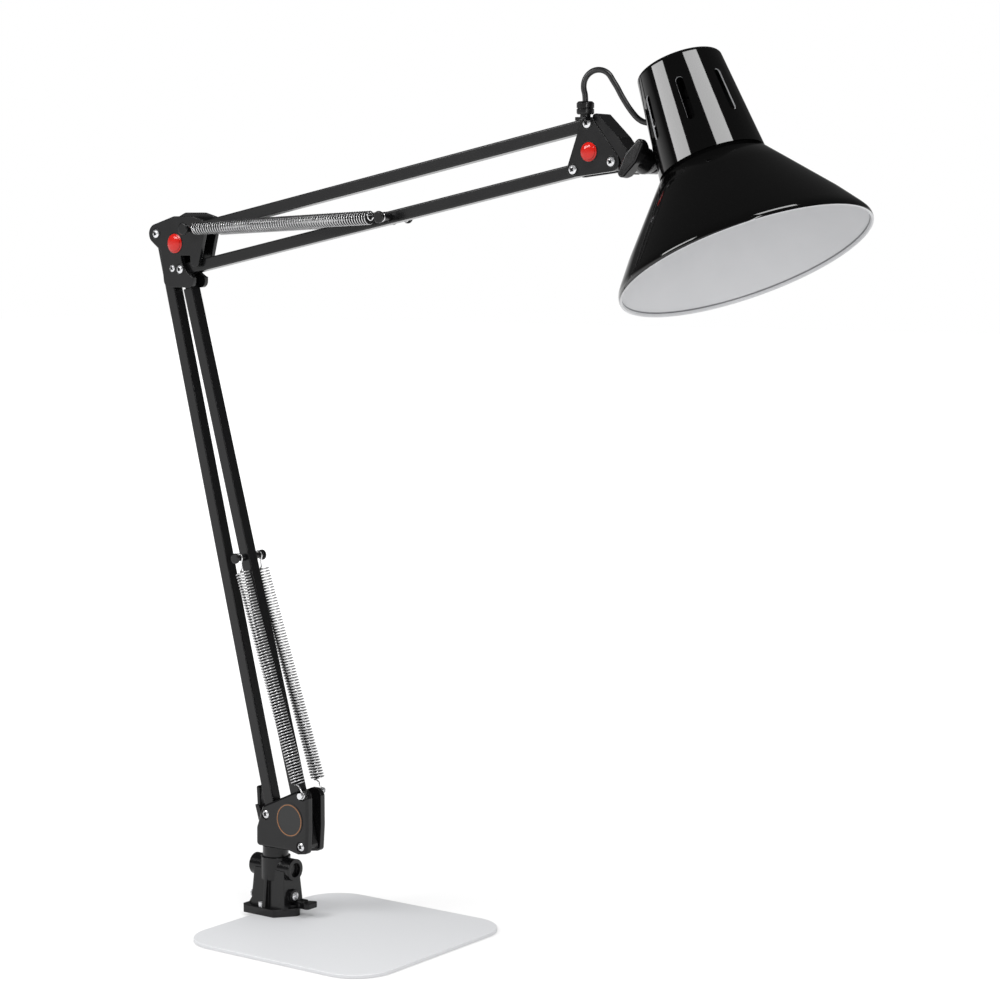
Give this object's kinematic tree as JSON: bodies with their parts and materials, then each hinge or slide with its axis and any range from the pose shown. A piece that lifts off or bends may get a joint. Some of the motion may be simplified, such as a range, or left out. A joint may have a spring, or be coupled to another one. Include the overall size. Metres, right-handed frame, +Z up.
{
  "type": "desk lamp",
  "caption": "Spring-balanced desk lamp: square plate, swivelling pedestal, lower and upper parallel-bar arms with side springs, and a conical metal shade that tilts and swivels",
  "frame": {"origin": "on the arms' swivel axis at the underside of the base", "axes": "+Z up along the swivel axis; +X the way the arms and the shade reach at rest; the arms lie in the plane Y = 0"},
  "size_m": [0.6155, 0.1834, 0.6463],
  "materials": {
    "white_steel": "white powder coat",
    "rubber_sheet": "thin anti-slip sheet",
    "black_moulding": "black moulded plastic",
    "black_steel": "semi-gloss black lacquer on steel tube",
    "gloss_black_shade": "gloss black outside, white inside",
    "bright_steel": "bright zinc or nickel plate",
    "grey_steel": "plain pressed steel",
    "red_plastic": "glossy red",
    "cord_rubber": "black cord sheath"
  },
  "bodies": {
    "base": {"base_pad": "rubber_sheet", "base_plate": "white_steel", "pedestal": "black_moulding", "pedestal_fixings": "bright_steel", "pedestal_side_screws": "bright_steel"},
    "thumb_screw": {"pedestal_thumb_screw": "black_moulding"},
    "lower_bracket": {"pivot_post": "black_moulding", "casing_near_shell": "black_moulding", "casing_far_shell": "black_moulding", "casing_medallion": "black_moulding", "casing_bolts": "bright_steel", "casing_nuts": "bright_steel", "lower_spring_studs": "bright_steel", "cord_outlet_sleeve": "black_moulding"},
    "rear_lower_arm": {"rear_lower_bar": "black_steel"},
    "front_lower_arm": {"front_lower_bar": "black_steel", "lower_spring_peg": "black_steel", "lower_spring_near": "bright_steel", "lower_spring_far": "bright_steel"},
    "elbow": {"elbow_near_plate": "black_moulding", "elbow_far_plate": "black_moulding", "elbow_spacer": "black_moulding", "elbow_caps": "red_plastic", "elbow_bolts": "bright_steel", "elbow_nuts": "bright_steel", "elbow_plate_screw": "bright_steel", "upper_spring_rear_peg": "bright_steel"},
    "upper_top_arm": {"upper_top_bar": "black_steel"},
    "upper_bottom_arm": {"upper_bottom_bar": "black_steel", "upper_spring_front_peg": "bright_steel", "upper_spring_near": "bright_steel", "upper_spring_far": "bright_steel"},
    "head_bracket": {"head_near_plate": "black_moulding", "head_far_plate": "black_moulding", "head_spacer": "black_moulding", "head_caps": "red_plastic", "head_bolts": "bright_steel", "head_nuts": "bright_steel", "head_block": "black_moulding", "cord_gland": "black_moulding", "head_cord": "cord_rubber"},
    "head_swivel": {"head_knuckle": "black_moulding", "head_tilt_bolt": "bright_steel"},
    "wing_knob": {"head_wing_knob": "black_moulding"},
    "shade": {"shade_cone": "gloss_black_shade", "shade_neck": "gloss_black_shade", "shade_tongue": "grey_steel", "tongue_rivets": "bright_steel", "lamp_holder": "black_moulding"}
  },
  "joints": [
    {"name": "clamp_turn", "type": "hinge", "parent": "base", "child": "thumb_screw", "pos_m": [0.027, 0.0015, 0.0126], "axis": [1, 0, 0], "continuous": true},
    {"name": "base_swivel", "type": "hinge", "parent": "base", "child": "lower_bracket", "pos_m": [0, 0, 0.03], "axis": [0, 0, 1], "range_deg": [-170, 170]},
    {"name": "lower_arm_lean", "type": "hinge", "parent": "lower_bracket", "child": "rear_lower_arm", "pos_m": [-0.0005, 0, 0.0814], "axis": [0, 1, 0], "range_deg": [-7, 30], "deforming": ["lower_spring_near", "lower_spring_far"]},
    {"name": "front_arm_lean", "type": "hinge", "parent": "lower_bracket", "child": "front_lower_arm", "pos_m": [0.0348, 0, 0.0606], "axis": [0, 1, 0], "range_deg": [-8, 32]},
    {"name": "elbow_turn", "type": "hinge", "parent": "rear_lower_arm", "child": "elbow", "pos_m": [-0.10999, 0, 0.52499], "axis": [0, 1, 0], "range_deg": [-42, 11]},
    {"name": "upper_arm_lift", "type": "hinge", "parent": "elbow", "child": "upper_top_arm", "pos_m": [-0.07339, 0, 0.52859], "axis": [0, 1, 0], "range_deg": [-35, 40], "deforming": ["upper_spring_near", "upper_spring_far"]},
    {"name": "upper_bottom_lift", "type": "hinge", "parent": "elbow", "child": "upper_bottom_arm", "pos_m": [-0.08499, 0, 0.49759], "axis": [0, 1, 0], "range_deg": [-36, 41]},
    {"name": "bracket_level", "type": "hinge", "parent": "upper_top_arm", "child": "head_bracket", "pos_m": [0.29405, 0, 0.59835], "axis": [0, 1, 0], "range_deg": [-41, 36]},
    {"name": "head_swivel_turn", "type": "hinge", "parent": "head_bracket", "child": "head_swivel", "pos_m": [0.34005, 0, 0.57145], "axis": [1, 0, 0], "range_deg": [-60, 60]},
    {"name": "shade_tilt", "type": "hinge", "parent": "head_swivel", "child": "shade", "pos_m": [0.34005, 0, 0.57145], "axis": [0, 0.9963, -0.0863], "range_deg": [-34, 40], "deforming": ["head_cord"]},
    {"name": "wing_knob_turn", "type": "hinge", "parent": "head_swivel", "child": "wing_knob", "pos_m": [0.34005, 0, 0.57145], "axis": [0, 0.9963, -0.0863], "continuous": true}
  ],
  "couplings": [
    {"joint": "front_arm_lean", "follows": "lower_arm_lean", "ratio": 1.03},
    {"joint": "elbow_turn", "follows": "lower_arm_lean", "ratio": -1.35},
    {"joint": "upper_bottom_lift", "follows": "upper_arm_lift", "ratio": 1},
    {"joint": "bracket_level", "follows": "upper_arm_lift", "ratio": -1}
  ]
}
